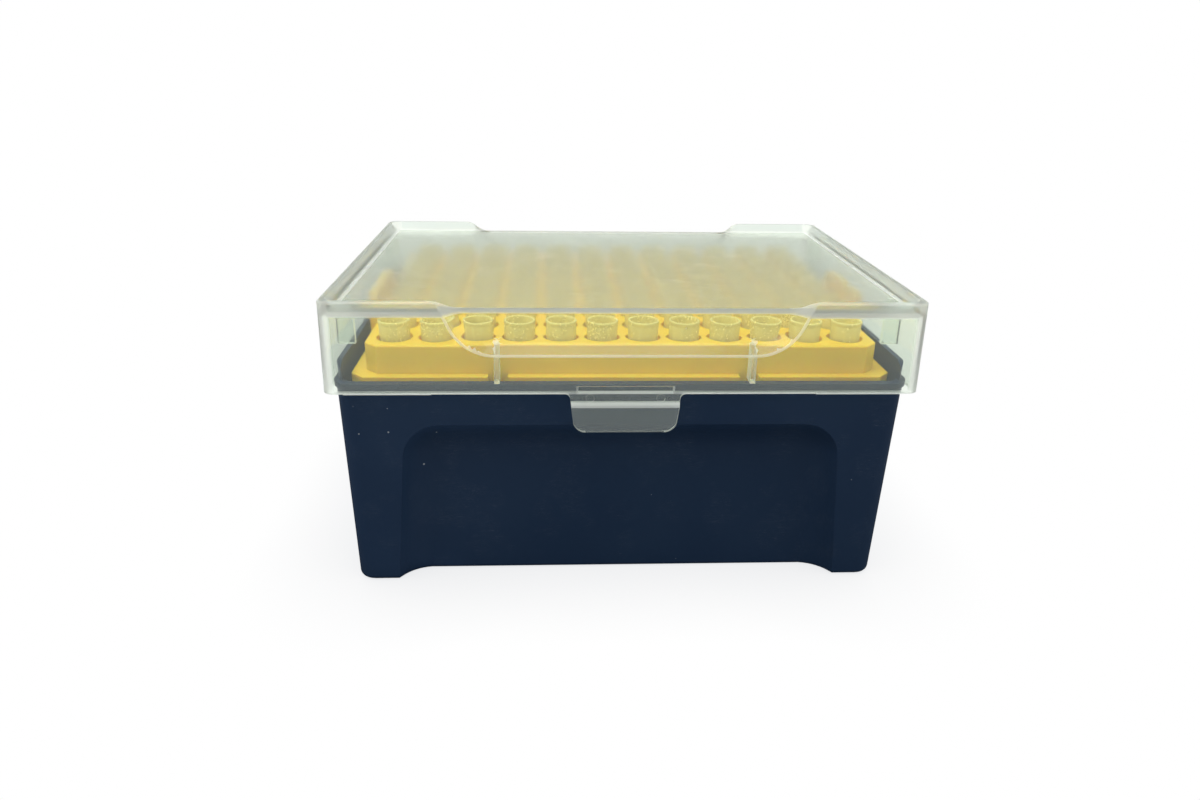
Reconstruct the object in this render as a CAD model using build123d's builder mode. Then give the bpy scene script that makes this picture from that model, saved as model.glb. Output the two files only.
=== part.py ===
"""Box of 96 pipette tips: a moulded base, a yellow tip rack that drops into it, the tips, and a hinged
clear lid. Millimetres, +Z up, +Y towards the hinge; the origin is the middle of the base's underside."""

import os
from math import cos, radians, tan

from build123d import *

# ---- tips and the grid they stand in -------------------------------------------------------------
TIP_PITCH = 9.0
TIP_COLUMNS = 12
TIP_ROWS = 8
TIP_LENGTH = 50.5
TIP_RIM_RADIUS = 3.38
TIP_COLLAR_RADIUS = 3.26
TIP_BODY_RADIUS = 2.95
TIP_WAIST_RADIUS = 2.72
TIP_WAIST_DEPTH = 14.0
TIP_SHANK_RADIUS = 1.15
TIP_SHANK_DEPTH = 36.0
TIP_END_RADIUS = 0.45
TIP_WALL = 0.5
TIP_END_WALL = 0.23
TIP_STAND = 4.0          # rim of a tip above the rack's top face

# ---- tip rack ------------------------------------------------------------------------------------
RACK_END_MARGIN = 5.9    # outermost hole centres to the rack's end faces
RACK_SIDE_MARGIN = 6.2   # outermost hole centres to the rack's long faces
RACK_HEIGHT = 8.2
RACK_WALL = 1.5
RACK_PLATE = 3.2
RACK_CORNER = 2.8
RACK_EDGE = 0.4
RACK_UPRIGHT_EDGE = 0.8
SEAT_RADIUS = 3.9        # wide upper part of each hole
SEAT_DEPTH = 2.4
HOLE_CLEARANCE = 0.15    # radial, around the body of a tip
FLANGE_END = 2.8
FLANGE_SIDE = 2.1
FLANGE_THICKNESS = 1.9
FLANGE_CORNER = 2.8
NOTCH_WIDTH = 4.2

GRIP_THICKNESS = 1.8     # upright grip tab and catch at each end of the rack
GRIP_HALF_WIDTH = 7.7
GRIP_FORWARD = 2.8       # grip's middle in front of the rack's
GRIP_HEIGHT = 5.1        # above the rack's top face
GRIP_ARCH = 3.6
CATCH_LENGTH = 8.5       # lower catch in front of the grip
CATCH_HEIGHT = 4.9
CATCH_ARCH = 1.8

# ---- base ----------------------------------------------------------------------------------------
BASE_WALL = 1.6
BASE_FLOOR = 2.0
BASE_CORNER = 4.0
BASE_FOOT_EDGE = 1.3
TIP_FLOOR_GAP = 7.7      # tip ends above the floor
FLANGE_END_GAP = 1.4
FLANGE_SIDE_GAP = 0.4
RIM_ABOVE_SEAT = 1.2
LIP_OUT = 0.4
LIP_HEIGHT = 1.2
EAR_HEIGHT = 4.0         # raised end walls above the rim
EAR_INSET = 0.5          # end walls back from the faces below them
EAR_SHOULDER = 4.4
DRAFT = 1.0              # degrees, every upright wall
RIB_THICKNESS = 1.2
RIB_BEARING = 1.4        # how far the flange rests on each rib

RECESS_SLOPE = 37.0      # degrees between a recess's sides and straight in
PANEL_DEPTH = 4.6        # recessed panels, front and back
PANEL_HALF_FOOT = 50.8   # half width at the underside
PANEL_HALF_TOP = 47.3    # half width at the panel's top
PANEL_TOP_DROP = 8.45    # panel top below the rack's seat
PANEL_CORNER = 8.6
PANEL_BLEND = 0.8        # share of the room at the corners that the inner rounding takes up

# ---- lid -----------------------------------------------------------------------------------------
LID_WALL = 1.1
LID_CLEARANCE = 0.45     # between the base's lip and the lid's inside
LID_OVERLAP = 1.7        # lid's lower edge below the rim
LID_HEADROOM = 3.8       # tip rims to the underside of the lid's top
LID_PLATE = 1.2
LID_RIM_HEIGHT = 2.0
LID_RIM_WIDTH = 1.3
LID_RIM_SLOPE = 42.0     # degrees, inner side of the rim
LID_RIM_BLEND = 1.0
LID_CORNER = 2.5
LID_EDGE = 0.5

SCOOP_DEPTH = 3.3
SCOOP_HALF_FOOT = 33.8
SCOOP_HALF_TOP = 38.8
SCOOP_FLOOR = 8.4        # scoop's lower edge above the lid's lower edge
SCOOP_CORNER = 10.2
SCOOP_BLEND = 0.35
SCOOP_EDGE = 0.7         # rounding where the scoop leaves the wall
SADDLE_HALF_FLOOR = 34.0
SADDLE_HALF_TOP = 41.0

LID_RIB_X = 27.0
LID_RIB_THICKNESS = 1.1
LID_RIB_DEPTH = 2.9
LID_RIB_LENGTH = 7.9
GUSSET_Y = 30.6
GUSSET_WIDTH = 3.3
GUSSET_THICKNESS = 1.2
GUSSET_GAP = 1.3         # gussets above the base's end walls
REST_GAP = 0.3           # other lid parts that stand over the base
STIFFENER_START = 40.6
STIFFENER_END = 58.7
STIFFENER_HEIGHT = 0.6
STIFFENER_OUT = 0.3

TAB_HALF_TOP = 11.8
TAB_HALF_FOOT = 10.8
TAB_LENGTH = 8.4
TAB_ROOT = 1.0           # how far the tab reaches up into the lid's front wall
TAB_CORNER = 2.7
TAB_ROOT_FILLET = 1.2
TAB_STEP_DOWN = 1.9      # step's start below the lid's lower edge
TAB_STEP = 0.9
GROOVE_HALF = 10.4
GROOVE_HEIGHT = 1.8
GROOVE_DEPTH = 0.7
GROOVE_BEVEL = 30.0
DIMPLE_X = 7.5
DIMPLE_DROP = 1.0
DIMPLE_RADIUS = 0.9
DIMPLE_DEPTH = 0.25
HOOK_HALF = 9.8
HOOK_IN = 0.25
HOOK_HEIGHT = 0.9

# ---- hinge ---------------------------------------------------------------------------------------
HINGE_X = 34.0
HINGE_BEHIND_LID = 2.65  # pin axis behind the lid's back wall
HINGE_ABOVE_EDGE = 1.0   # pin axis above the lid's lower edge
KNUCKLE_RADIUS = 2.2
KNUCKLE_WIDTH = 12.0
LUG_WIDTH = 2.4
LUG_GAP = 0.4
PIN_RADIUS = 1.3
PIN_CLEARANCE = 0.05
ARM_DROP = 8.0
LUG_BELOW_LID = 0.6      # shoulder of each lug below the lid's lower edge

# ---- modelling aids ------------------------------------------------------------------------------
PAST = 1.0               # how far a cutting solid runs past what it cuts
RUN_ON = 4.0             # a recess's tool runs past its open end by this many of its depths
NEAR = 0.02              # an edge this near a wall lies on it

# ---- sizes that follow ---------------------------------------------------------------------------
LEAN = tan(radians(DRAFT))
grid_half_x = TIP_PITCH * (TIP_COLUMNS - 1) / 2
grid_half_y = TIP_PITCH * (TIP_ROWS - 1) / 2
rack_half_x = grid_half_x + RACK_END_MARGIN
rack_half_y = grid_half_y + RACK_SIDE_MARGIN
flange_half_x = rack_half_x + FLANGE_END
flange_half_y = rack_half_y + FLANGE_SIDE

seat_z = BASE_FLOOR + TIP_FLOOR_GAP + TIP_LENGTH - TIP_STAND - RACK_HEIGHT
rack_top_z = seat_z + RACK_HEIGHT
tip_rim_z = rack_top_z + TIP_STAND
rim_z = seat_z + RIM_ABOVE_SEAT
ear_z = rim_z + EAR_HEIGHT

base_half_x = flange_half_x + FLANGE_END_GAP + BASE_WALL      # at seat_z
base_half_y = flange_half_y + FLANGE_SIDE_GAP + BASE_WALL
foot_half_y = base_half_y - seat_z * LEAN
ear_inner_x = base_half_x - BASE_WALL + (rim_z - seat_z) * LEAN

lid_z = rim_z - LID_OVERLAP
lid_half_x = base_half_x + LIP_OUT + LID_CLEARANCE + LID_WALL  # at lid_z
lid_half_y = base_half_y + LIP_OUT + LID_CLEARANCE + LID_WALL
lid_plate_z = tip_rim_z + LID_HEADROOM
lid_floor_z = lid_plate_z + LID_PLATE
lid_top_z = lid_floor_z + LID_RIM_HEIGHT
lid_top_half_x = lid_half_x - (lid_top_z - lid_z) * LEAN
lid_top_half_y = lid_half_y - (lid_top_z - lid_z) * LEAN

hinge_y = lid_half_y + HINGE_BEHIND_LID
hinge_z = lid_z + HINGE_ABOVE_EDGE


def leaning_block(half_x, half_y, corner, at_z, low_z, high_z, lean=DRAFT, mode=Mode.ADD):
    """Block with rounded upright corners: half_x by half_y at at_z, wider upwards when lean is positive."""
    sections = []
    for level in (low_z, high_z):
        shift = (level - at_z) * tan(radians(lean))
        with BuildSketch(Plane.XY.offset(level)) as plan:
            RectangleRounded(2 * (half_x + shift), 2 * (half_y + shift), corner)
        sections.append(plan.sketch)
    loft(sections, ruled=True, mode=mode)


def front_plane(half_y, low_z, lean):
    """Plane lying on the front wall: Y up the wall, normal into the box."""
    inwards = Vector(0, 1, 0).rotate(Axis.X, lean)
    return Plane(origin=(0, -half_y, low_z), x_dir=(-1, 0, 0), z_dir=inwards)


def recess_tool(wall, half_low, low, half_high, high, rounded, corner, depth, share, grow):
    """Solid that sinks a recess with sloping sides into a wall. The outline on the wall runs from low to
    high; rounded picks its round corners, 0 the low ones and -1 the high ones; share sets the inner
    rounding. A grown tool leaves a wall of that thickness behind the recess."""
    slope = radians(RECESS_SLOPE)
    sections = []
    for level in (-PAST, depth + grow):
        spread = grow / cos(slope) - level * tan(slope)
        with BuildSketch(wall.offset(level)) as outline:
            with BuildLine():
                Polyline((-half_low, low), (-half_high, high), (half_high, high), (half_low, low),
                         close=True)
            make_face()
            offset(amount=spread, kind=Kind.INTERSECTION)
            fillet(outline.vertices().group_by(Axis.Y)[rounded], corner + spread)
        sections.append(outline.sketch)
    room = min(corner - depth * tan(slope), depth / cos(slope))
    blend = share * room / tan(radians(90 - RECESS_SLOPE) / 2)
    with BuildPart() as tool:
        loft(sections, ruled=True)
        inner = tool.faces().sort_by(Axis.Y)[-1].edges().sort_by(Axis.Z)
        fillet(inner[1:] if rounded else inner[:-1], blend + grow)
    return tool.part


def panel_tool(grow=0.0):
    """Tool for the front panel of the base, open downwards."""
    below = -RUN_ON * (PANEL_DEPTH + BASE_FOOT_EDGE)
    height = seat_z - PANEL_TOP_DROP
    half_below = PANEL_HALF_FOOT + (PANEL_HALF_TOP - PANEL_HALF_FOOT) / height * below
    return recess_tool(front_plane(foot_half_y, 0, DRAFT), half_below, below, PANEL_HALF_TOP, height,
                       -1, PANEL_CORNER, PANEL_DEPTH, PANEL_BLEND, grow)


def scoop_tool(grow=0.0):
    """Tool that sets back the middle of the lid's front wall, open upwards."""
    height = lid_top_z - lid_z
    above = height + RUN_ON * SCOOP_DEPTH
    half_above = SCOOP_HALF_FOOT + (SCOOP_HALF_TOP - SCOOP_HALF_FOOT) * (above - SCOOP_FLOOR) / (
        height - SCOOP_FLOOR)
    return recess_tool(front_plane(lid_half_y, lid_z, -DRAFT), SCOOP_HALF_FOOT, SCOOP_FLOOR, half_above,
                       above, 0, SCOOP_CORNER, SCOOP_DEPTH, SCOOP_BLEND, grow)


def is_scoop_crease(edge):
    """True for the edges where the scoops leave the lid's front and back walls."""
    return all(abs(point.X) < SCOOP_HALF_TOP + PAST and lid_z + PAST < point.Z < lid_top_z
               and abs(lid_half_y - (point.Z - lid_z) * LEAN - abs(point.Y)) < NEAR
               for point in (edge @ 0, edge @ 0.5, edge @ 1))


def cut_front_and_back(tool):
    """Cuts a front tool and its mirror image at the back out of the current part."""
    add(tool, mode=Mode.SUBTRACT)
    mirror(tool, about=Plane.XZ, mode=Mode.SUBTRACT)


# ---- base ----------------------------------------------------------------------------------------
end_rib = base_half_x - flange_half_x + RIB_BEARING
side_rib = base_half_y - flange_half_y + RIB_BEARING

with BuildPart() as cavity:
    leaning_block(base_half_x - BASE_WALL, base_half_y - BASE_WALL, BASE_CORNER - BASE_WALL,
                  seat_z, BASE_FLOOR, ear_z + PAST)
    cut_front_and_back(panel_tool(BASE_WALL))
    # left standing: ribs whose tops carry the rack's flange
    with Locations((0, 0, seat_z)):
        with GridLocations(2 * base_half_x - end_rib, 2 * TIP_PITCH, 2, TIP_ROWS // 2):
            Box(end_rib, RIB_THICKNESS, seat_z,
                align=(Align.CENTER, Align.CENTER, Align.MAX), mode=Mode.SUBTRACT)
        with GridLocations(2 * TIP_PITCH, 2 * base_half_y - side_rib, TIP_COLUMNS // 2, 2):
            Box(RIB_THICKNESS, side_rib, seat_z,
                align=(Align.CENTER, Align.CENTER, Align.MAX), mode=Mode.SUBTRACT)

# end walls that rise above the rim, with rounded shoulders front and back
with BuildPart() as end_walls:
    leaning_block(base_half_x - EAR_INSET, base_half_y - EAR_INSET, BASE_CORNER,
                  seat_z, rim_z - LIP_HEIGHT, ear_z)
    ear_half_y = base_half_y - EAR_INSET + (ear_z - seat_z) * LEAN
    with BuildSketch(Plane.YZ) as side_view:
        with Locations((0, ear_z / 2)):
            Rectangle(2 * ear_half_y, ear_z)
        fillet(side_view.vertices().group_by(Axis.Y)[-1], EAR_SHOULDER)
    extrude(amount=base_half_x + PAST, both=True, mode=Mode.INTERSECT)
    with Locations((0, 0, rim_z)):
        Box(2 * ear_inner_x, 2 * (ear_half_y + PAST), EAR_HEIGHT + PAST,
            align=(Align.CENTER, Align.CENTER, Align.MIN), mode=Mode.SUBTRACT)

with BuildPart() as base:
    leaning_block(base_half_x, base_half_y, BASE_CORNER, seat_z, 0, rim_z)
    cut_front_and_back(panel_tool())
    fillet(base.faces().sort_by(Axis.Z)[0].edges(), BASE_FOOT_EDGE)
    add(end_walls.part)

    # outward lip along the rim
    leaning_block(base_half_x + LIP_OUT, base_half_y + LIP_OUT, BASE_CORNER + LIP_OUT,
                  seat_z, rim_z - LIP_HEIGHT, rim_z, lean=0)
    add(cavity.part, mode=Mode.SUBTRACT)

    # hinge lugs with the pins between them
    lug_offset = (KNUCKLE_WIDTH + LUG_WIDTH) / 2 + LUG_GAP
    wall_y = base_half_y - BASE_WALL / 2
    for side in (-1, 1):
        for lug in (-lug_offset, lug_offset):
            with BuildSketch(Plane.YZ.offset(side * HINGE_X + lug)):
                with Locations((hinge_y, hinge_z)):
                    Circle(KNUCKLE_RADIUS)
                with BuildLine():
                    Polyline((wall_y, hinge_z - ARM_DROP), (wall_y, lid_z - LUG_BELOW_LID),
                             (hinge_y - KNUCKLE_RADIUS, lid_z - LUG_BELOW_LID),
                             (hinge_y - KNUCKLE_RADIUS, hinge_z), (hinge_y + KNUCKLE_RADIUS, hinge_z),
                             close=True)
                make_face()
            extrude(amount=LUG_WIDTH / 2, both=True)
        with Locations(Location((side * HINGE_X, hinge_y, hinge_z), (0, 90, 0))):
            Cylinder(PIN_RADIUS, 2 * lug_offset)
base.part.label = "base"

# ---- tip rack ------------------------------------------------------------------------------------
with BuildPart() as tip_rack:
    with BuildSketch(Plane.XY.offset(seat_z)) as block_plan:
        Rectangle(2 * rack_half_x, 2 * rack_half_y)
        chamfer(block_plan.vertices(), RACK_CORNER)
    extrude(amount=RACK_HEIGHT)
    fillet(tip_rack.edges().filter_by(Axis.Z), RACK_UPRIGHT_EDGE)
    fillet(tip_rack.faces().sort_by(Axis.Z)[-1].edges(), RACK_EDGE)

    with BuildSketch(Plane.XY.offset(seat_z)) as flange_plan:
        Rectangle(2 * flange_half_x, 2 * flange_half_y)
        chamfer(flange_plan.vertices(), FLANGE_CORNER)
        for x in (-LID_RIB_X, LID_RIB_X):
            with Locations((x, 0)):
                Rectangle(NOTCH_WIDTH, 2 * (flange_half_y + PAST), mode=Mode.SUBTRACT)
        Rectangle(2 * rack_half_x - RACK_WALL, 2 * rack_half_y)
    extrude(amount=FLANGE_THICKNESS)

    # grip tab and the catch in front of it, at both ends
    catch_forward = GRIP_FORWARD + GRIP_HALF_WIDTH + CATCH_LENGTH / 2
    for forward, length, height, arch in ((GRIP_FORWARD, 2 * GRIP_HALF_WIDTH, GRIP_HEIGHT, GRIP_ARCH),
                                          (catch_forward, CATCH_LENGTH, CATCH_HEIGHT, CATCH_ARCH)):
        for side in (-1, 1):
            with BuildSketch(Plane.YZ.offset(side * (rack_half_x + GRIP_THICKNESS / 2))) as grip_face:
                with Locations((-forward, (seat_z + rack_top_z + height) / 2)):
                    Rectangle(length, RACK_HEIGHT + height)
                fillet(grip_face.vertices().group_by(Axis.Y)[-1], arch)
            extrude(amount=GRIP_THICKNESS / 2, both=True)

    with Locations((0, 0, seat_z)):
        Box(2 * (rack_half_x - RACK_WALL), 2 * (rack_half_y - RACK_WALL), RACK_HEIGHT - RACK_PLATE,
            align=(Align.CENTER, Align.CENTER, Align.MIN), mode=Mode.SUBTRACT)
    with Locations((0, 0, rack_top_z)):
        with GridLocations(TIP_PITCH, TIP_PITCH, TIP_COLUMNS, TIP_ROWS):
            CounterBoreHole(TIP_BODY_RADIUS + HOLE_CLEARANCE, SEAT_RADIUS, SEAT_DEPTH, RACK_HEIGHT)
tip_rack.part.label = "tip_rack"

# ---- tips: one node for each column of the grid ----------------------------------------------------
collar = TIP_STAND + SEAT_DEPTH
with BuildPart() as tip:
    with BuildSketch(Plane.XZ):
        with BuildLine():
            Polyline((TIP_RIM_RADIUS - TIP_WALL, 0), (TIP_RIM_RADIUS, 0), (TIP_COLLAR_RADIUS, -collar),
                     (TIP_BODY_RADIUS, -collar), (TIP_WAIST_RADIUS, -TIP_WAIST_DEPTH),
                     (TIP_SHANK_RADIUS, -TIP_SHANK_DEPTH), (TIP_END_RADIUS, -TIP_LENGTH),
                     (TIP_END_RADIUS - TIP_END_WALL, -TIP_LENGTH),
                     (TIP_SHANK_RADIUS - TIP_WALL, -TIP_SHANK_DEPTH),
                     (TIP_WAIST_RADIUS - TIP_WALL, -TIP_WAIST_DEPTH),
                     (TIP_BODY_RADIUS - TIP_WALL, -collar), close=True)
        make_face()
    revolve(axis=Axis.Z)

tips_columns = []
for column in range(TIP_COLUMNS):
    x = column * TIP_PITCH - grid_half_x
    with BuildPart() as tips_column:
        with Locations((x, 0, tip_rim_z)):
            with GridLocations(TIP_PITCH, TIP_PITCH, 1, TIP_ROWS):
                add(tip.part)
    tips_column.part.label = f"tips_column_{column + 1:02d}"
    tips_columns.append(tips_column)

# ---- lid -----------------------------------------------------------------------------------------
with BuildPart() as lid_inside:
    leaning_block(lid_half_x - LID_WALL, lid_half_y - LID_WALL, LID_CORNER - LID_WALL,
                  lid_z, lid_z - PAST, lid_plate_z, lean=-DRAFT)
    cut_front_and_back(scoop_tool(LID_WALL))
    # left standing: ribs over the base's rim, and gussets over its raised ends
    with Locations((0, 0, rim_z + REST_GAP)):
        with GridLocations(2 * LID_RIB_X, 2 * (lid_half_y - LID_WALL) - LID_RIB_DEPTH, 2, 2):
            Box(LID_RIB_THICKNESS, LID_RIB_DEPTH + LID_WALL, LID_RIB_LENGTH,
                align=(Align.CENTER, Align.CENTER, Align.MIN), mode=Mode.SUBTRACT)
    with Locations((0, 0, ear_z + GUSSET_GAP)):
        with GridLocations(2 * (lid_half_x - LID_WALL) - GUSSET_WIDTH, 2 * GUSSET_Y, 2, 2):
            Box(GUSSET_WIDTH + LID_WALL, GUSSET_THICKNESS, lid_top_z - ear_z,
                align=(Align.CENTER, Align.CENTER, Align.MIN), mode=Mode.SUBTRACT)

with BuildPart() as top_well:
    with BuildSketch(Plane.XY.offset(lid_top_z)):
        RectangleRounded(2 * (lid_top_half_x - LID_RIM_WIDTH), 2 * (lid_top_half_y - LID_RIM_WIDTH),
                         LID_CORNER)
    extrude(amount=-LID_RIM_HEIGHT, taper=LID_RIM_SLOPE)
    fillet(top_well.faces().sort_by(Axis.Z)[0].edges(), LID_RIM_BLEND)

# the rim dips away in the middle of the front and back, in an S-shaped ramp at each end
with BuildPart() as saddle:
    with BuildSketch(Plane.XZ):
        with BuildLine():
            middle = ((SADDLE_HALF_FLOOR + SADDLE_HALF_TOP) / 2, (lid_floor_z + lid_top_z) / 2)
            upper = TangentArc((SADDLE_HALF_TOP, lid_top_z), middle, tangent=(-1, 0))
            lower = TangentArc(middle, (SADDLE_HALF_FLOOR, lid_floor_z), tangent=upper % 1)
            Polyline(lower @ 1, (0, lid_floor_z), (0, lid_top_z + PAST), (SADDLE_HALF_TOP, lid_top_z + PAST),
                     upper @ 0)
        make_face()
        mirror(about=Plane.YZ)
    extrude(amount=lid_half_y + PAST, both=True)

# latch tab: a stepped plate cut to its outline
tab_top = lid_z + TAB_ROOT
tab_root_y = lid_half_y - TAB_ROOT * LEAN
step_top = lid_z - TAB_STEP_DOWN
step_low = step_top - TAB_STEP
tab_foot = lid_z - TAB_LENGTH
tab_out_y = -lid_half_y - TAB_STEP
tab_reach = TAB_HALF_TOP + 2 * TAB_ROOT_FILLET
with BuildPart() as latch_tab:
    with BuildSketch(Plane.YZ):
        with BuildLine():
            Polyline((-tab_root_y, tab_top), (-lid_half_y, lid_z), (-lid_half_y, step_top),
                     (tab_out_y, step_low), (tab_out_y, tab_foot), (tab_out_y + LID_WALL, tab_foot),
                     (tab_out_y + LID_WALL, step_low), (-lid_half_y + LID_WALL, step_top),
                     (-lid_half_y + LID_WALL, lid_z), (LID_WALL - tab_root_y, tab_top), close=True)
        make_face()
    extrude(amount=tab_reach, both=True)
    with BuildSketch(Plane.XZ) as tab_front:
        with BuildLine():
            Polyline((-tab_reach, tab_top), (-tab_reach, lid_z), (-TAB_HALF_TOP, lid_z),
                     (-TAB_HALF_FOOT, tab_foot), (TAB_HALF_FOOT, tab_foot), (TAB_HALF_TOP, lid_z),
                     (tab_reach, lid_z), (tab_reach, tab_top), close=True)
        make_face()
        fillet(tab_front.vertices().group_by(Axis.Y)[0], TAB_CORNER)
        fillet(tab_front.vertices().filter_by_position(Axis.Y, lid_z - NEAR, lid_z + NEAR)
               .sort_by(Axis.X)[1:-1], TAB_ROOT_FILLET)
    extrude(amount=2 * lid_half_y, mode=Mode.INTERSECT)

with BuildPart() as lid:
    leaning_block(lid_half_x, lid_half_y, LID_CORNER, lid_z, lid_z, lid_top_z, lean=-DRAFT)
    fillet(lid.faces().sort_by(Axis.Z)[-1].edges(), LID_EDGE)
    cut_front_and_back(scoop_tool())
    fillet(lid.edges().filter_by(is_scoop_crease), SCOOP_EDGE)
    add(top_well.part, mode=Mode.SUBTRACT)
    add(saddle.part, mode=Mode.SUBTRACT)
    add(lid_inside.part, mode=Mode.SUBTRACT)
    add(latch_tab.part)

    # low stiffening strips along the lower edge, near the corners
    with Locations((0, 0, lid_z)):
        with GridLocations(STIFFENER_START + STIFFENER_END, 2 * lid_half_y, 2, 2):
            Box(STIFFENER_END - STIFFENER_START, 2 * STIFFENER_OUT, STIFFENER_HEIGHT,
                align=(Align.CENTER, Align.CENTER, Align.MIN))

    # groove, two dimples and the hook ridge of the latch
    latch_face = Plane(origin=(0, -lid_half_y, lid_z), x_dir=(-1, 0, 0), z_dir=(0, 1, 0))
    with BuildSketch(latch_face):
        with Locations((0, GROOVE_HEIGHT / 2)):
            Rectangle(2 * GROOVE_HALF, GROOVE_HEIGHT)
    extrude(amount=GROOVE_DEPTH, taper=GROOVE_BEVEL, mode=Mode.SUBTRACT)
    with BuildSketch(latch_face):
        with Locations((-DIMPLE_X, -DIMPLE_DROP), (DIMPLE_X, -DIMPLE_DROP)):
            Circle(DIMPLE_RADIUS)
    extrude(amount=DIMPLE_DEPTH, mode=Mode.SUBTRACT)
    with Locations((0, -lid_half_y + LID_WALL, lid_z - REST_GAP)):
        Box(2 * HOOK_HALF, 2 * HOOK_IN, HOOK_HEIGHT, align=(Align.CENTER, Align.CENTER, Align.MAX))

    # hinge knuckles behind the back wall, bored for the pins
    for side in (-1, 1):
        with BuildSketch(Plane.YZ.offset(side * HINGE_X)):
            with Locations((hinge_y, hinge_z)):
                Circle(KNUCKLE_RADIUS)
            with BuildLine():
                web_y = lid_half_y - LID_WALL / 2
                Polyline((web_y, lid_z), (hinge_y, hinge_z - KNUCKLE_RADIUS),
                         (hinge_y, hinge_z + KNUCKLE_RADIUS), (web_y, hinge_z + KNUCKLE_RADIUS), close=True)
            make_face()
        extrude(amount=KNUCKLE_WIDTH / 2, both=True)
        with Locations(Location((side * HINGE_X, hinge_y, hinge_z), (0, 90, 0))):
            Cylinder(PIN_RADIUS + PIN_CLEARANCE, KNUCKLE_WIDTH + 2 * PAST, mode=Mode.SUBTRACT)
lid.part.label = "lid"

# ---- one STEP file for each node -------------------------------------------------------------------
os.makedirs("parts", exist_ok=True)
for piece in (base, tip_rack, *tips_columns, lid):
    export_step(piece.part, f"parts/{piece.part.label}.step")
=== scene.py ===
"""Box of pipette tips: a navy base, a yellow rack of tips and a clear hinged lid, on a pale floor.

Every length is in metres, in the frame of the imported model. The sub-assemblies are the base, the rack,
the rows of tips, the lid and the studio, and each finish is a class of its own.
"""

import logging
import math
from dataclasses import dataclass, field
from enum import Enum

import bmesh
import bpy
import numpy as np
from mathutils import Matrix, Vector


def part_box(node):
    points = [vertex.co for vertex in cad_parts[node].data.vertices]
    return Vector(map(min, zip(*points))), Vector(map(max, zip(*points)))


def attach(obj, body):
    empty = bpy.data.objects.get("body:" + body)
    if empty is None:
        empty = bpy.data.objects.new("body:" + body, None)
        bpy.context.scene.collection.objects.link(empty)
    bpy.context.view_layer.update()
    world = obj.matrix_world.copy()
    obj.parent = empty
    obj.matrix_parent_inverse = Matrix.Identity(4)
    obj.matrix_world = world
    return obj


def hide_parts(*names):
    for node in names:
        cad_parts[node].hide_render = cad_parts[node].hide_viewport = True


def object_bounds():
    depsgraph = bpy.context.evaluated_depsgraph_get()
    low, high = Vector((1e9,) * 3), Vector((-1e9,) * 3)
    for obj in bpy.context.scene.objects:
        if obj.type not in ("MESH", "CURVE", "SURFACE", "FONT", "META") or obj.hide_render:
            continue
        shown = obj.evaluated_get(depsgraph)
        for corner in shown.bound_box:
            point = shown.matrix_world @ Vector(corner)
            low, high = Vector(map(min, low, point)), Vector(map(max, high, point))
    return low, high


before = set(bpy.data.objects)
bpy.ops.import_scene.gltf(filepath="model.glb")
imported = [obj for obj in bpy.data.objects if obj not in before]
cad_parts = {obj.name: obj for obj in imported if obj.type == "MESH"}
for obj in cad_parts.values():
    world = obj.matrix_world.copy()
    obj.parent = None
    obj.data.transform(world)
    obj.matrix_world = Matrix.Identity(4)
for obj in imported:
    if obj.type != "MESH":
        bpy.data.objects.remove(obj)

CAD_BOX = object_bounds()
MICROMETRES = 1e6
MIDDLE = 0.5  # mean of a noise
SOLID_IOR = 1.49
BROAD_GRAIN = 20.0  # flow pattern's size in grains
SCRATCH_STRETCH = 26.0
SCRATCH_HALF_WIDTH = 0.008
EVEN_WEIGHT = 80
SENSOR_WIDTH = 36.0

Colour = tuple[float, float, float]
log = logging.getLogger("tip_box")


class Body(Enum):
    """The moving bodies of the box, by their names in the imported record."""

    BASE = "base"
    LID = "lid"


class Slot(Enum):
    """The record's material slots."""

    BASE = "base_plastic"
    RACK = "rack_plastic"
    TIP = "tip_plastic"
    LID = "lid_plastic"


class LidFace(Enum):
    """The lid's finishes, by their place in its list of materials."""

    CLEAR = 0
    # faces where light gathers, given a whiter, milkier finish as a painted highlight
    GATHERING = 1
    RIM = 2


# ---- shader building ---------------------------------------------------------------------------------


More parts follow.
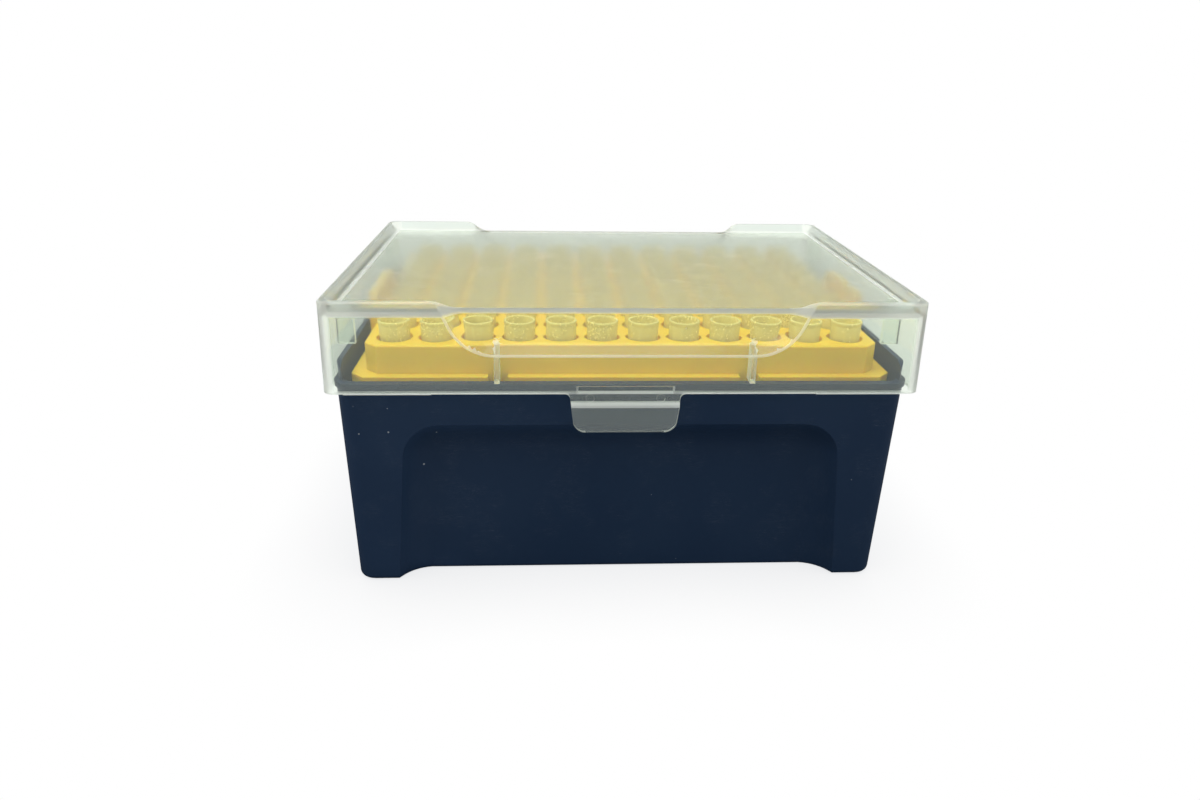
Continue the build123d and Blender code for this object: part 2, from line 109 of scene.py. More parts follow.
class Nodes:
    """Short way to add nodes to one tree and to join them."""

    def __init__(self, tree: bpy.types.NodeTree) -> None:
        """Keeps the tree that the nodes go into.

        Args:
            tree: A material's or a group's node tree.
        """
        self.tree = tree

    def add(self, kind: str, **settings: object) -> bpy.types.Node:
        """Adds a node and sets its properties.

        Args:
            kind: The node's type, without its leading "ShaderNode" where it has one.
            settings: Properties of the node and their values.

        Returns:
            The new node.
        """
        node = self.tree.nodes.new(kind if kind.startswith("NodeGroup") else "ShaderNode" + kind)
        for key, value in settings.items():
            setattr(node, key, value)
        return node

    def put(self, source: object, target: bpy.types.NodeSocket) -> None:
        """Joins an output to an input, or sets the input's own value.

        Args:
            source: An output socket, a number or a tuple.
            target: The input that takes it.
        """
        if isinstance(source, bpy.types.NodeSocket):
            self.tree.links.new(source, target)
        else:
            target.default_value = source

    def maths(self, operation: str, *terms: object) -> bpy.types.NodeSocket:
        """Adds a Math node.

        Args:
            operation: The node's operation.
            terms: Sockets or numbers, in the order of the node's inputs.

        Returns:
            The result's socket.
        """
        node = self.add("Math", operation=operation)
        for place, term in enumerate(terms):
            self.put(term, node.inputs[place])
        return node.outputs[0]

    def ramp(
        self, value: object, low: object, high: object, to_low: object, to_high: object
    ) -> bpy.types.NodeSocket:
        """Carries a value smoothly from one range to another, held at both ends.

        Args:
            value: The value to carry over.
            low: Start of its range.
            high: End of its range.
            to_low: Result at the start.
            to_high: Result at the end.

        Returns:
            The result's socket.
        """
        node = self.add("MapRange", interpolation_type="SMOOTHSTEP", clamp=True)
        for place, term in enumerate((value, low, high, to_low, to_high)):
            self.put(term, node.inputs[place])
        return node.outputs[0]

    def mixed(self, share: object, first: object, second: object) -> bpy.types.NodeSocket:
        """Mixes two colours.

        Args:
            share: How much of the second colour shows, 0 to 1.
            first: Colour, as a socket or three numbers.
            second: Colour, as a socket or three numbers.

        Returns:
            The mixed colour's socket.
        """
        node = self.add("Mix", data_type="RGBA")
        factor, _, _, _, _, _, colour_a, colour_b = node.inputs[:8]
        self.put(share, factor)
        for target, colour in ((colour_a, first), (colour_b, second)):
            self.put((*colour, 1.0) if isinstance(colour, tuple) else colour, target)
        return node.outputs[2]


class Effect:
    """A shader node group that several materials use: its inputs and outputs, built once."""

    def __init__(self, name: str, inputs: dict[str, float], output: str) -> None:
        """Makes the group with a Vector input, the named number inputs and one number output.

        Args:
            name: The group's name.
            inputs: Name and default value of each number that the group takes.
            output: Name of the value that it gives.
        """
        self.tree = bpy.data.node_groups.new(name, "ShaderNodeTree")
        self.tree.interface.new_socket("Vector", in_out="INPUT", socket_type="NodeSocketVector")
        for key, value in inputs.items():
            socket = self.tree.interface.new_socket(key, in_out="INPUT", socket_type="NodeSocketFloat")
            socket.default_value = value
        self.tree.interface.new_socket(output, in_out="OUTPUT", socket_type="NodeSocketFloat")
        self.nodes = Nodes(self.tree)
        self.given = self.nodes.add("NodeGroupInput").outputs
        self.result = self.nodes.add("NodeGroupOutput").inputs[output]

    def place(self, nodes: Nodes, vector: bpy.types.NodeSocket, **values: object) -> bpy.types.NodeSocket:
        """Puts the group into a material.

        Args:
            nodes: The material's nodes.
            vector: Coordinates that the effect follows.
            values: Numbers for the group's inputs.

        Returns:
            The group's output.
        """
        node = nodes.add("Group", node_tree=self.tree)
        nodes.put(vector, node.inputs["Vector"])
        for key, value in values.items():
            nodes.put(value, node.inputs[key])
        return node.outputs[0]


def mould_grain() -> Effect:
    """The fine uneven surface a worn mould leaves: noise of the given grain size plus a broad flow pattern.

    Height = noise(x / size) * (1 - flow) + noise(x / (20 size)) * flow.

    Returns:
        The effect, giving Height.
    """
    effect = Effect("mould_grain", {"Size": 0.0004, "Flow": 0.35}, "Height")
    n = effect.nodes
    parts = []
    for size_factor, detail in ((1.0, 2.0), (BROAD_GRAIN, 1.0)):
        noise = n.add("TexNoise")
        n.put(effect.given["Vector"], noise.inputs["Vector"])
        n.put(n.maths("DIVIDE", 1.0 / size_factor, effect.given["Size"]), noise.inputs["Scale"])
        n.put(detail, noise.inputs["Detail"])
        parts.append(noise.outputs[0])
    fine = n.maths("MULTIPLY", parts[0], n.maths("SUBTRACT", 1.0, effect.given["Flow"]))
    n.put(n.maths("MULTIPLY_ADD", parts[1], effect.given["Flow"], fine), effect.result)
    return effect


def settled_dust() -> Effect:
    """Sparse round specks of dust: one cell in a few holds a speck, each of its own size.

    Mask = 1 where the distance to the cell's point is under Speck * (a random share), in a Share of cells.

    Returns:
        The effect, giving Mask.
    """
    effect = Effect("settled_dust", {"Spacing": 0.002, "Speck": 0.0001, "Share": 0.2}, "Mask")
    n = effect.nodes
    cells = n.add("TexVoronoi", feature="F1")
    n.put(effect.given["Vector"], cells.inputs["Vector"])
    n.put(n.maths("DIVIDE", 1.0, effect.given["Spacing"]), cells.inputs["Scale"])
    chance = n.add("SeparateColor")
    n.put(cells.outputs["Color"], chance.inputs[0])
    reach = n.maths("DIVIDE", effect.given["Speck"], effect.given["Spacing"])
    reach = n.maths("MULTIPLY", reach, n.maths("ADD", chance.outputs[1], 0.25))
    inside = n.maths("LESS_THAN", cells.outputs["Distance"], reach)
    chosen = n.maths("LESS_THAN", chance.outputs[0], effect.given["Share"])
    n.put(n.maths("MULTIPLY", inside, chosen), effect.result)
    return effect


def handling_marks() -> Effect:
    """Fine hair scratches in two directions, gathered in patches.

    Mask = thin bands where a noise stretched along one direction passes 0.5, inside broad patches.

    Returns:
        The effect, giving Mask.
    """
    effect = Effect("handling_marks", {"Length": 0.006, "Amount": 0.5}, "Mask")
    n = effect.nodes
    marks = []
    for turn in ((0.3, 0.5, 0.4), (-0.5, 0.2, -0.9)):
        turned = n.add("Mapping", vector_type="POINT")
        n.put(effect.given["Vector"], turned.inputs["Vector"])
        turned.inputs["Rotation"].default_value = turn
        turned.inputs["Scale"].default_value = (1.0, SCRATCH_STRETCH, SCRATCH_STRETCH)
        noise = n.add("TexNoise")
        n.put(turned.outputs[0], noise.inputs["Vector"])
        n.put(n.maths("DIVIDE", 1.0, effect.given["Length"]), noise.inputs["Scale"])
        noise.inputs["Detail"].default_value = 0.0
        away = n.maths("ABSOLUTE", n.maths("SUBTRACT", noise.outputs[0], MIDDLE))
        marks.append(n.ramp(away, 0.0, SCRATCH_HALF_WIDTH, 1.0, 0.0))
    patches = n.add("TexNoise")
    n.put(effect.given["Vector"], patches.inputs["Vector"])
    n.put(n.maths("DIVIDE", 0.5, effect.given["Length"]), patches.inputs["Scale"])
    where = n.ramp(patches.outputs[0], 0.5, 0.62, 0.0, effect.given["Amount"])
    n.put(n.maths("MULTIPLY", n.maths("MAXIMUM", *marks), where), effect.result)
    return effect


class Workshop:
    """The shared effects, built once for all finishes."""

    def __init__(self) -> None:
        """Builds the node groups."""
        self.grain = mould_grain()
        self.dust = settled_dust()
        self.marks = handling_marks()


class Sheet:
    """A new material with its Principled shader, Object coordinates and output."""

    def __init__(self, name: str) -> None:
        """Makes the material.

        Args:
            name: The material's name.
        """
        self.material = bpy.data.materials.new(name)
        self.material.use_nodes = True
        self.nodes = Nodes(self.material.node_tree)
        tree = self.material.node_tree.nodes
        self.shader = tree["Principled BSDF"]
        self.output = tree["Material Output"]
        self.vector = self.nodes.add("TexCoord").outputs["Object"]

    def set(self, **values: object) -> None:
        """Sets inputs of the Principled shader; an underscore in a name stands for a space.

        Args:
            values: Input names and their sockets or plain values.
        """
        for key, value in values.items():
            self.nodes.put(value, self.shader.inputs[key.replace("_", " ")])

    def bump(self, height: bpy.types.NodeSocket, distance: float, strength: float) -> None:
        """Feeds a height into the shader's Normal.

        Args:
            height: The height's socket, 0 to 1.
            distance: How far a height of 1 stands up, in metres.
            strength: Share of the effect.
        """
        node = self.nodes.add("Bump")
        node.inputs["Strength"].default_value = strength
        node.inputs["Distance"].default_value = distance
        self.nodes.put(height, node.inputs["Height"])
        self.nodes.put(node.outputs[0], self.shader.inputs["Normal"])

    def lets_lamps_through(self, tint: Colour) -> None:
        """Lets light from lamps pass the material in a straight line, tinted.

        Args:
            tint: Share of each colour that passes one surface.
        """
        clear = self.nodes.add("BsdfTransparent")
        clear.inputs[0].default_value = (*tint, 1.0)
        either = self.nodes.add("MixShader")
        path = self.nodes.add("LightPath")
        self.nodes.put(path.outputs["Is Shadow Ray"], either.inputs[0])
        self.nodes.put(self.shader.outputs[0], either.inputs[1])
        self.nodes.put(clear.outputs[0], either.inputs[2])
        self.nodes.put(either.outputs[0], self.output.inputs["Surface"])


# ---- finishes ----------------------------------------------------------------------------------------


@dataclass(frozen=True)
class NavyPolypropylene:
    """Satin navy plastic of the base, with dust specks and fine handling marks."""

    colour: Colour = (0.0100, 0.0260, 0.0600)
    worn: Colour = (0.0160, 0.0350, 0.0720)
    dust: Colour = (0.30, 0.33, 0.36)
    roughness: float = 0.42
    gloss: float = 0.22

    def build(self, shop: Workshop) -> bpy.types.Material:
        """Makes the material.

        Args:
            shop: The shared effects.

        Returns:
            The material.
        """
        sheet = Sheet("navy_polypropylene")
        n = sheet.nodes
        flow = shop.grain.place(n, sheet.vector, Size=0.0012, Flow=0.8)
        marks = shop.marks.place(n, sheet.vector, Length=0.004, Amount=0.55)
        specks = shop.dust.place(n, sheet.vector, Spacing=0.0034, Speck=0.00019, Share=0.3)
        shade = n.mixed(n.ramp(flow, 0.35, 0.65, 0.0, 0.35), self.colour, self.worn)
        shade = n.mixed(n.maths("MULTIPLY", marks, 0.25), shade, self.dust)
        shade = n.mixed(n.maths("MULTIPLY", specks, 0.8), shade, self.dust)
        fine = shop.grain.place(n, sheet.vector, Size=0.00022, Flow=0.25)
        rough = n.maths("MULTIPLY_ADD", n.maths("SUBTRACT", fine, MIDDLE), 0.2, self.roughness)
        sheet.set(Base_Color=shade, Roughness=n.maths("MULTIPLY_ADD", marks, 0.12, rough))
        sheet.set(IOR=SOLID_IOR, Specular_IOR_Level=self.gloss)
        sheet.bump(fine, 0.00003, 0.6)
        return sheet.material


@dataclass(frozen=True)
class YellowPolypropylene:
    """Warm yellow plastic of the rack, glowing orange where light comes through thin edges."""

    colour: Colour = (0.82, 0.55, 0.022)
    deep: Colour = (0.76, 0.48, 0.016)
    glow_depth: float = 0.0012
    roughness: float = 0.38
    gloss: float = 0.25

    def build(self, shop: Workshop) -> bpy.types.Material:
        """Makes the material.

        Args:
            shop: The shared effects.

        Returns:
            The material.
        """
        sheet = Sheet("yellow_polypropylene")
        n = sheet.nodes
        flow = shop.grain.place(n, sheet.vector, Size=0.0009, Flow=0.7)
        fine = shop.grain.place(n, sheet.vector, Size=0.0003, Flow=0.2)
        sheet.set(Base_Color=n.mixed(n.ramp(flow, 0.35, 0.65, 0.0, 0.6), self.colour, self.deep))
        sheet.set(Roughness=n.maths("MULTIPLY_ADD", n.maths("SUBTRACT", fine, MIDDLE), 0.2, self.roughness))
        sheet.set(IOR=SOLID_IOR, Specular_IOR_Level=self.gloss)
        sheet.set(Subsurface_Weight=0.45, Subsurface_Radius=(1.0, 0.42, 0.08))
        sheet.set(Subsurface_Scale=self.glow_depth)
        sheet.bump(fine, 0.00003, 0.5)
        return sheet.material


@dataclass(frozen=True)
class TipPolypropylene:
    """Natural translucent plastic of the tips."""

    colour: Colour = (0.98, 0.87, 0.34)
    clearness: float = 0.42
    roughness: float = 0.26
    ior: float = 1.16
    grain_shade: float = 0.96

    def build(self, shop: Workshop) -> bpy.types.Material:
        """Makes the material.

        Args:
            shop: The shared effects.

        Returns:
            The material.
        """
        sheet = Sheet("natural_polypropylene")
        n = sheet.nodes
        fine = shop.grain.place(n, sheet.vector, Size=0.0005, Flow=0.4)
        sheet.set(Base_Color=n.mixed(fine, self.colour, tuple(self.grain_shade * c for c in self.colour)))
        sheet.set(Roughness=n.maths("MULTIPLY_ADD", n.maths("SUBTRACT", fine, MIDDLE), 0.15, self.roughness))
        sheet.set(IOR=self.ior, Transmission_Weight=self.clearness)
        sheet.bump(fine, 0.00002, 0.4)
        return sheet.material


@dataclass(frozen=True)
class LidPolypropylene:
    """Clear, faintly green and slightly milky plastic of the lid."""

    name: str = "clear_polypropylene"
    colour: Colour = (0.88, 0.935, 0.86)
    dust: Colour = (0.80, 0.82, 0.80)
    clearness: float = 0.95
    roughness: float = 0.10
    waviness: float = 0.15
    plate_haze: float = 0.11
    plate_height: float = 0.0638
    plate_turn: float = 0.0003
    ior: float = 1.28
    lamp_tint: Colour = (0.96, 0.98, 0.96)

    def build(self, shop: Workshop) -> bpy.types.Material:
        """Makes the material.

        Args:
            shop: The shared effects.

        Returns:
            The material.
        """
        sheet = Sheet(self.name)
        n = sheet.nodes
        flow = shop.grain.place(n, sheet.vector, Size=0.0016, Flow=0.75)
        marks = shop.marks.place(n, sheet.vector, Length=0.005, Amount=0.4)
        specks = shop.dust.place(n, sheet.vector, Spacing=0.004, Speck=0.00014, Share=0.15)
        shade = n.mixed(n.maths("MULTIPLY", specks, 0.8), self.colour, self.dust)
        rough = n.maths("MULTIPLY_ADD", n.maths("SUBTRACT", flow, MIDDLE), 0.05, self.roughness)
        rough = n.maths("MULTIPLY_ADD", marks, 0.18, rough)
        height = n.add("SeparateXYZ")
        n.put(sheet.vector, height.inputs[0])
        hazy_from = self.plate_height - self.plate_turn
        plate = n.ramp(height.outputs[2], hazy_from, self.plate_height, 0.0, self.plate_haze)
        rough = n.maths("ADD", rough, plate)
        sheet.set(Base_Color=shade, Roughness=n.maths("MULTIPLY_ADD", specks, 0.4, rough))
        sheet.set(IOR=self.ior, Transmission_Weight=self.clearness)
        sheet.bump(flow, 0.00006, self.waviness)
        sheet.lets_lamps_through(self.lamp_tint)
        return sheet.material


# ---- meshes ------------------------------------------------------------------------------------------


def show(name: str, mesh: bpy.types.Mesh, material: bpy.types.Material) -> bpy.types.Object:
    """Puts a mesh into the scene as an object at the origin.

    Args:
        name: The piece's name.
        mesh: Its mesh, already in place.
        material: Its finish.

    Returns:
        The new object.
    """
    mesh.materials.clear()
    mesh.materials.append(material)
    piece = bpy.data.objects.new(name, mesh)
    bpy.context.scene.collection.objects.link(piece)
    return piece


def merged_copy(node: str, name: str, material: bpy.types.Material, crease: float) -> bpy.types.Object:
    """Copies a CAD node's surface with its loose triangles joined, shaded smooth between creases.

    Corners that agree to a micrometre become one vertex, and triangles that this closes up are dropped.

    Args:
        node: The CAD node.
        name: The piece's name.
        material: Its finish.
        crease: Angle in degrees above which an edge stays sharp.

    Returns:
        The piece, standing for the node.
    """
    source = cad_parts[node].data
    source.calc_loop_triangles()
    points = np.empty(len(source.vertices) * 3, np.float32)
    corners = np.empty(len(source.loop_triangles) * 3, np.int32)
    source.vertices.foreach_get("co", points)
    source.loop_triangles.foreach_get("vertices", corners)
    keys = np.round(points.reshape(-1, 3).astype(float) * MICROMETRES).astype(np.int64)
    _, first, same = np.unique(keys, axis=0, return_index=True, return_inverse=True)
    triangles = same.reshape(-1)[corners.reshape(-1, 3)]
    whole = (
        (triangles[:, 0] != triangles[:, 1])
        & (triangles[:, 1] != triangles[:, 2])
        & (triangles[:, 2] != triangles[:, 0])
    )
    mesh = bpy.data.meshes.new(name)
    mesh.from_pydata(points.reshape(-1, 3)[first].tolist(), [], triangles[whole].tolist())
    mesh.update()
    mesh.shade_smooth()
    mesh.set_sharp_from_angle(angle=math.radians(crease))
    piece = show(name, mesh, material)
    weighted = piece.modifiers.new("even_shading", "WEIGHTED_NORMAL")
    weighted.keep_sharp = True
    weighted.weight = EVEN_WEIGHT
    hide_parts(node)
    return piece


def placed(piece: bpy.types.Object, body: Body) -> bpy.types.Object:
    """Lets a piece ride on a body and logs it.

    Args:
        piece: The piece.
        body: The body that it moves with.

    Returns:
        The same piece.
    """
    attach(piece, body.value)
    log.info("%s: %d faces on %s", piece.name, len(piece.data.polygons), body.value)
    return piece


# ---- sub-assemblies ----------------------------------------------------------------------------------


@dataclass
class BoxBase:
    """The base: an open tray with recessed front and back panels, raised end walls and hinge lugs."""

    crease: float = 32.0
    finish: NavyPolypropylene = field(default_factory=NavyPolypropylene)

    def build(self, shop: Workshop) -> None:
        """Dresses the base.

        Args:
            shop: The shared effects.
        """
        shell = merged_copy("base", "base_shell", self.finish.build(shop), self.crease)
        placed(shell, Body.BASE)


@dataclass
class TipRack:
    """The yellow rack that carries the tips."""

    crease: float = 32.0
    finish: YellowPolypropylene = field(default_factory=YellowPolypropylene)

    def build(self, shop: Workshop) -> None:
        """Dresses the rack.

        Args:
            shop: The shared effects.
        """
        tray = merged_copy("tip_rack", "rack_tray", self.finish.build(shop), self.crease)
        placed(tray, Body.BASE)


@dataclass
class TipRows:
    """The tips, eight to a column: thin hollow cones with a ribbed collar and a rounded rim."""

    pitch: float = 0.009
    rows: int = 8
    columns: int = 12
    length: float = 0.0505
    rim_radius: float = 0.00338
    collar_radius: float = 0.00322
    body_radius: float = 0.00295
    waist_radius: float = 0.00272
    waist_depth: float = 0.014
    shank_radius: float = 0.00115
    shank_depth: float = 0.036
    end_radius: float = 0.00045
    wall: float = 0.0005
    end_wall: float = 0.00023
    collar_depth: float = 0.0064
    rib_count: int = 10
    rib_height: float = 0.00012
    rib_top: float = 0.0012
    sides: int = 40
    crease: float = 38.0
    finish: TipPolypropylene = field(default_factory=TipPolypropylene)

    def profile(self) -> tuple[np.ndarray, np.ndarray]:
        """Section of one tip, as a closed line that runs down the outside and back up the inside.

        Returns:
            Radius and depth below the rim of each point as rows (r, z), and for each point the share of
            the collar's ribs that it carries.
        """
        outer = self.rim_radius
        line = [
            (outer - self.wall, -0.00015, 0.0),
            (outer - 0.7 * self.wall, 0.0, 0.0),
            (outer - 0.25 * self.wall, 0.0, 0.0),
            (outer, -0.00015, 0.0),
            (outer, -0.0006, 0.0),
            (self.collar_radius, -0.0009, 0.0),
            (self.collar_radius, -self.rib_top, 1.0),
            (self.collar_radius - 0.00004, -self.collar_depth + 0.0003, 1.0),
            (self.collar_radius - 0.00010, -self.collar_depth, 0.0),
            (self.body_radius, -self.collar_depth, 0.0),
            (self.waist_radius, -self.waist_depth, 0.0),
            (self.shank_radius, -self.shank_depth, 0.0),
            (self.end_radius, -self.length, 0.0),
            (self.end_radius - self.end_wall, -self.length, 0.0),
            (self.shank_radius - self.wall, -self.shank_depth, 0.0),
            (self.waist_radius - self.wall, -self.waist_depth, 0.0),
            (self.body_radius - self.wall, -self.collar_depth, 0.0),
        ]
        table = np.array(line)
        return table[:, :2], table[:, 2]

    def tip(self) -> tuple[np.ndarray, np.ndarray]:
        """Surface of one tip hanging from the origin.

        x = (r + a h(angle)) cos(angle), y = (r + a h(angle)) sin(angle), z = z, where h is a row of
        rounded ribs, (0.5 + 0.5 cos(n angle)) squared, and a the rib height on the collar's points.

        Returns:
            Vertices and four-cornered faces.
        """
        section, ribbed = self.profile()
        angle = np.linspace(0.0, 2 * np.pi, self.sides, endpoint=False)
        ridge = (0.5 + 0.5 * np.cos(self.rib_count * angle)) ** 2
        radius = section[:, :1] + self.rib_height * ribbed[:, None] * ridge[None, :]
        x, y = radius * np.cos(angle), radius * np.sin(angle)
        z = np.repeat(section[:, 1:], self.sides, axis=1)
        vertices = np.stack([x, y, z], axis=-1).reshape(-1, 3)
        down, round_ = np.meshgrid(np.arange(len(section)), np.arange(self.sides), indexing="ij")
        below, beside = (down + 1) % len(section), (round_ + 1) % self.sides
        faces = np.stack(
            [
                down * self.sides + round_,
                below * self.sides + round_,
                below * self.sides + beside,
                down * self.sides + beside,
            ],
            axis=-1,
        ).reshape(-1, 4)
        return vertices, faces

    def build(self, shop: Workshop) -> None:
        """Makes one piece for each column of tips.

        Args:
            shop: The shared effects.
        """
        material = self.finish.build(shop)
        vertices, faces = self.tip()
        for column in range(self.columns):
            node = f"tips_column_{column + 1:02d}"
            low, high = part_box(node)
            middle_y = (low.y + high.y) / 2
            row_y = middle_y + self.pitch * (np.arange(self.rows) - (self.rows - 1) / 2)
            places = np.stack(
                [np.full(self.rows, (low.x + high.x) / 2), row_y, np.full(self.rows, high.z)], axis=-1
            )
            points = (vertices[None] + places[:, None]).reshape(-1, 3)
            quads = (faces[None] + len(vertices) * np.arange(self.rows)[:, None, None]).reshape(-1, 4)
            mesh = bpy.data.meshes.new(f"tips_{column + 1:02d}")
            mesh.from_pydata(points.tolist(), [], quads.tolist())
            mesh.update()
            mesh.shade_smooth()
            mesh.set_sharp_from_angle(angle=math.radians(self.crease))
            piece = show(f"tips_{column + 1:02d}", mesh, material)
            piece.visible_shadow = False
            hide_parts(node)
            placed(piece, Body.BASE)


@dataclass
class BoxLid:
    """The clear lid: a thin-walled cover with scooped front and back, a rimmed top and a latch tab."""

    crease: float = 32.0
    plate_under: float = 0.0640
    plate_over: float = 0.0652
    lip_height: float = 0.0004
    broad: float = 0.00004
    foot: float = 0.0475
    half_depth: float = 0.04375
    wall: float = 0.0011
    recess_low: float = 0.0545
    recess_half: float = 0.042
    recess_skin: float = 0.0005
    rib_place: float = 0.027
    rib_half: float = 0.0006
    rib_top: float = 0.0585
    lean: float = math.radians(1.0)
    near: float = 1e-5
    upright: float = 0.3
    finish: LidPolypropylene = field(default_factory=LidPolypropylene)
    # whiter and milkier than the clear finish: a painted highlight on the faces where light gathers
    highlight_finish: LidPolypropylene = field(
        default_factory=lambda: LidPolypropylene(
            "clear_polypropylene_painted_highlight", (0.93, 0.97, 0.91), clearness=0.72, roughness=0.34
        )
    )
    rim_finish: LidPolypropylene = field(
        default_factory=lambda: LidPolypropylene(
            "clear_polypropylene_rim", (0.83, 0.90, 0.84), clearness=0.86, roughness=0.22
        )
    )

    def cut_at_levels(self, mesh: bpy.types.Mesh, levels: tuple[float, ...]) -> None:
        """Divides the faces of a mesh along level lines, which leaves its shape as it is.

        Args:
            mesh: The mesh.
            levels: Heights of the lines.
        """
        work = bmesh.new()
        work.from_mesh(mesh)
        for level in levels:
            geometry = [*work.verts, *work.edges, *work.faces]
            bmesh.ops.bisect_plane(work, geom=geometry, dist=1e-7, plane_co=(0, 0, level), plane_no=(0, 0, 1))
        work.to_mesh(mesh)
        work.free()

    def finish_of_faces(self, mesh: bpy.types.Mesh, lip: float) -> np.ndarray:
        """Finds the rim, and the faces where light gathers, which get a painted highlight: rounded edges, the
        plate's edge, ribs and lip.

        A face is on a rounded edge if all the faces that share its direction cover less than `broad`,
        and if it isn't one of the wide sloping faces set back from the front and back walls.

        Args:
            mesh: The lid's mesh.
            lip: Height up to which the lower lip reaches.

        Returns:
            The `LidFace` value of each face.
        """
        count = len(mesh.polygons)
        normal, centre, area = np.empty(count * 3), np.empty(count * 3), np.empty(count)
        mesh.polygons.foreach_get("normal", normal)
        mesh.polygons.foreach_get("center", centre)
        mesh.polygons.foreach_get("area", area)
        normal, (x, y, height) = normal.reshape(-1, 3), centre.reshape(-1, 3).T
        _, family = np.unique(np.round(normal, 2), axis=0, return_inverse=True)
        family = family.reshape(-1)
        rounded = np.bincount(family, weights=area)[family] < self.broad
        upright = np.abs(normal[:, 2]) < self.upright
        plate_edge = upright & (height > self.plate_under) & (height < self.plate_over)
        depth = self.half_depth - (height - self.foot) * math.tan(self.lean) - np.abs(y)
        set_back = (depth > self.recess_skin) & (np.abs(x) < self.recess_half)
        set_back &= (height > self.recess_low) & (height < self.plate_under)
        rib = (np.abs(np.abs(x) - self.rib_place) < self.rib_half) & (height < self.rib_top)
        rib &= depth > self.wall + 10 * self.near
        lower_lip = (height > self.foot - self.near) & (height < lip)
        # these faces get the painted highlight finish
        gathers = (rounded & ~set_back) | plate_edge | rib | lower_lip
        above = np.where(height > self.plate_over + self.near, LidFace.RIM.value, LidFace.CLEAR.value)
        return np.where(gathers, LidFace.GATHERING.value, above).astype(np.int32)

    def build(self, shop: Workshop) -> None:
        """Dresses the lid, with a milkier finish on the rim and a whiter, milkier finish where light gathers,
        as a painted highlight.

        Args:
            shop: The shared effects.
        """
        shell = merged_copy("lid", "lid_shell", self.finish.build(shop), self.crease)
        shell.data.materials.append(self.highlight_finish.build(shop))
        shell.data.materials.append(self.rim_finish.build(shop))
        lip = self.foot + self.lip_height
        self.cut_at_levels(shell.data, (lip, self.plate_under, self.plate_over))
        shell.data.polygons.foreach_set("material_index", self.finish_of_faces(shell.data, lip))
        shell.data.update()
        placed(shell, Body.LID)


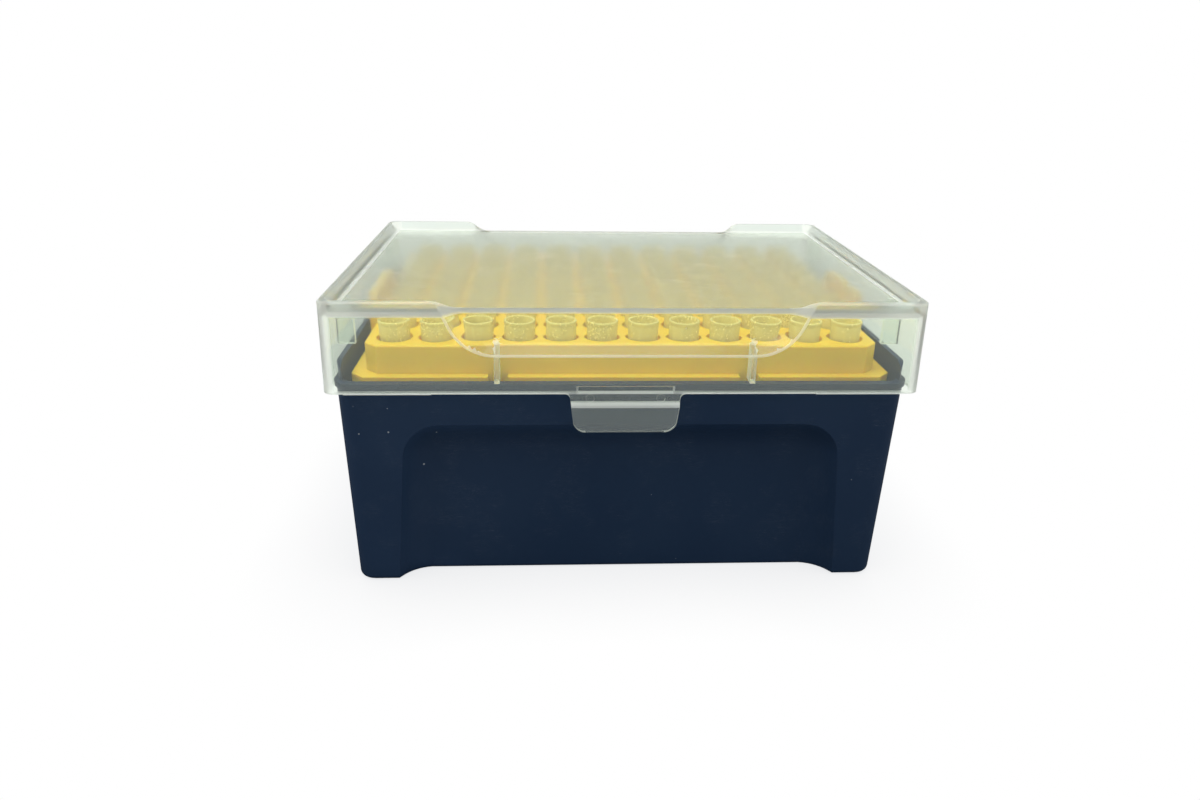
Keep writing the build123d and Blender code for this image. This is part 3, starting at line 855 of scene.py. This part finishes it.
@dataclass
class Studio:
    """White surroundings, two soft lamps, a pale floor and the camera."""

    floor_size: float = 6.0
    # matt colour next to the box, darker than farther out: painted shade that dims the light bounced onto the
    # box's lower walls
    floor_painted_shade: Colour = (0.07, 0.07, 0.07)
    floor_far: Colour = (0.30, 0.30, 0.30)
    floor_turn: tuple[float, float] = (0.06, 0.30)
    # colour of the painted contact shadow in the floor's glow
    contact_shade: Colour = (0.74, 0.75, 0.77)
    contact_reach: float = 0.03
    sky: float = 0.74
    mirrored_sky: float = 0.3
    eye: tuple[float, float, float] = (-0.01563, -0.20924, 0.11432)
    yaw: float = -3.02
    pitch: float = -22.35
    roll: float = -1.02
    lens: float = 25.51
    shift: tuple[float, float] = (0.0059, 0.0)

    @staticmethod
    def met(nodes: Nodes) -> tuple[bpy.types.NodeSocket, bpy.types.NodeSocket]:
        """What the light has met on its way: 1 or 0 for a matt surface, and for a mirroring outer one.

        Args:
            nodes: The nodes that use it.

        Returns:
            The two values' sockets. Reflections inside clear plastic count as neither.
        """
        path = nodes.add("LightPath")
        matt = nodes.maths("MINIMUM", path.outputs["Diffuse Depth"], 1.0)
        inside = nodes.maths("MINIMUM", path.outputs["Transmission Depth"], 1.0)
        mirror = nodes.maths("MINIMUM", path.outputs["Glossy Depth"], 1.0)
        return matt, nodes.maths("MULTIPLY", mirror, nodes.maths("SUBTRACT", 1.0, inside))

    def floor(self) -> None:
        """Lays the floor: white to the camera, with a painted contact shadow where the box stands on it, and
        grey to bounced light, painted darker near the box as shade.
        """
        half = self.floor_size / 2
        mesh = bpy.data.meshes.new("floor")
        corners = [(-half, -half, 0), (half, -half, 0), (half, half, 0), (-half, half, 0)]
        mesh.from_pydata(corners, [], [(0, 1, 2, 3)])
        sheet = Sheet("white_paper")
        n = sheet.nodes
        away = n.add("VectorMath", operation="LENGTH")
        n.put(sheet.vector, away.inputs[0])
        far = n.ramp(away.outputs["Value"], *self.floor_turn, 0.0, 1.0)
        # painted shade: the matt colour darkens towards the box
        sheet.set(Base_Color=n.mixed(far, self.floor_painted_shade, self.floor_far), Roughness=0.9)
        sheet.set(Specular_IOR_Level=0.1)
        # painted contact shadow: the camera's white glow darkens where ambient occlusion finds the box close
        # by
        open_sky = n.add("AmbientOcclusion", samples=8)
        open_sky.inputs["Distance"].default_value = self.contact_reach
        glow = n.add("Emission")
        n.put(n.mixed(open_sky.outputs["AO"], self.contact_shade, (1.0, 1.0, 1.0)), glow.inputs["Color"])
        either = n.add("MixShader")
        n.put(n.maths("MAXIMUM", *self.met(n)), either.inputs[0])
        n.put(glow.outputs[0], either.inputs[1])
        n.put(sheet.shader.outputs[0], either.inputs[2])
        n.put(either.outputs[0], sheet.output.inputs["Surface"])
        show("floor", mesh, sheet.material)

    def lamp(self, name: str, place: Vector, aim: Vector, size: float, watts: float) -> None:
        """Hangs a square soft lamp.

        Args:
            name: The lamp's name.
            place: Where it hangs.
            aim: The point it faces.
            size: Its side, in metres.
            watts: Its power.
        """
        light = bpy.data.lights.new(name, "AREA")
        light.shape, light.size, light.energy = "SQUARE", size, watts
        lamp = bpy.data.objects.new(name, light)
        lamp.location = place
        lamp.rotation_euler = (aim - place).to_track_quat("-Z", "Y").to_euler()
        bpy.context.scene.collection.objects.link(lamp)

    def surroundings(self) -> None:
        """Sets the white surroundings."""
        world = bpy.data.worlds.new("studio_white")
        world.use_nodes = True
        n = Nodes(world.node_tree)
        matt, mirror = self.met(n)
        strength = n.maths("MULTIPLY_ADD", matt, self.sky - 1.0, 1.0)
        strength = n.maths("MINIMUM", strength, n.maths("MULTIPLY_ADD", mirror, self.mirrored_sky - 1.0, 1.0))
        backdrop = world.node_tree.nodes["Background"]
        backdrop.inputs["Color"].default_value = (1.0, 1.0, 1.0, 1.0)
        n.put(strength, backdrop.inputs["Strength"])
        bpy.context.scene.world = world

    def camera(self) -> None:
        """Sets up the camera: yaw about Z, then pitch about X, then roll about its own line of sight."""
        yaw, pitch, roll = (math.radians(turn) for turn in (self.yaw, self.pitch, self.roll))
        turn = Matrix.Rotation(yaw, 3, "Z") @ Matrix.Rotation(pitch, 3, "X") @ Matrix.Rotation(roll, 3, "Y")
        right, forward, up = turn.col
        data = bpy.data.cameras.new("camera")
        data.lens, data.sensor_width = self.lens, SENSOR_WIDTH
        data.shift_x, data.shift_y = self.shift
        data.clip_start, data.clip_end = 0.01, 100.0
        camera = bpy.data.objects.new("camera", data)
        pose = Matrix((right, up, -forward)).transposed().to_4x4()
        pose.translation = Vector(self.eye)
        camera.matrix_world = pose
        bpy.context.scene.collection.objects.link(camera)
        bpy.context.scene.camera = camera

    def build(self) -> None:
        """Builds the studio round the box."""
        low, high = CAD_BOX
        middle = (Vector(low) + Vector(high)) / 2
        self.surroundings()
        self.floor()
        self.lamp("softbox_above", middle + Vector((-0.25, -0.15, 0.9)), middle, 0.9, 6.0)
        self.lamp("softbox_side", middle + Vector((0.9, -0.2, 0.5)), middle, 0.6, 1.0)
        self.camera()
        bpy.context.scene.view_settings.view_transform = "Standard"
        bpy.context.scene.view_settings.look = "None"


def main() -> None:
    """Builds the box's sub-assemblies in order, then the studio."""
    logging.basicConfig(level=logging.INFO, format="%(name)s %(message)s")
    shop = Workshop()
    for part in (BoxBase(), TipRack(), TipRows(), BoxLid()):
        part.build(shop)
    Studio().build()


if __name__ == "__main__":
    main()
